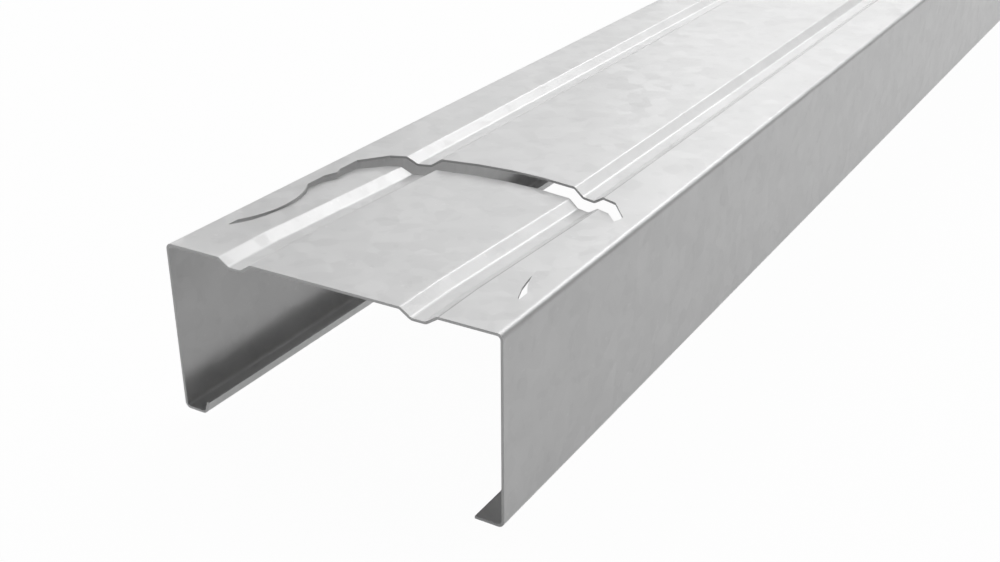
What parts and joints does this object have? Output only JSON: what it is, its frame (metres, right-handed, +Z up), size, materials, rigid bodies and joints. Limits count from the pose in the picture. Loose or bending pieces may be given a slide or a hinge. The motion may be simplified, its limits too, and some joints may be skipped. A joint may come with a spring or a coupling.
{
  "type": "steel stud",
  "caption": "Cold-formed galvanised C stud with a grooved web, unequal lipped flanges and a hinged cable flap near one end.",
  "frame": {"origin": "at floor level, under the middle of the web's width and halfway along the stud, the centre of the bottom of its box", "axes": "+Z up through the web's outer face, +Y along the stud away from the end with the cable flap, +X across the web towards the taller flange, which has the plain lip"},
  "size_m": [0.0988, 2.6, 0.0513],
  "materials": {
    "galvanised_sheet": "hot-dip galvanised sheet, soft satin with a faint fine mottle"
  },
  "bodies": {
    "root": {"steel_stud": "galvanised_sheet"}
  },
  "joints": []
}
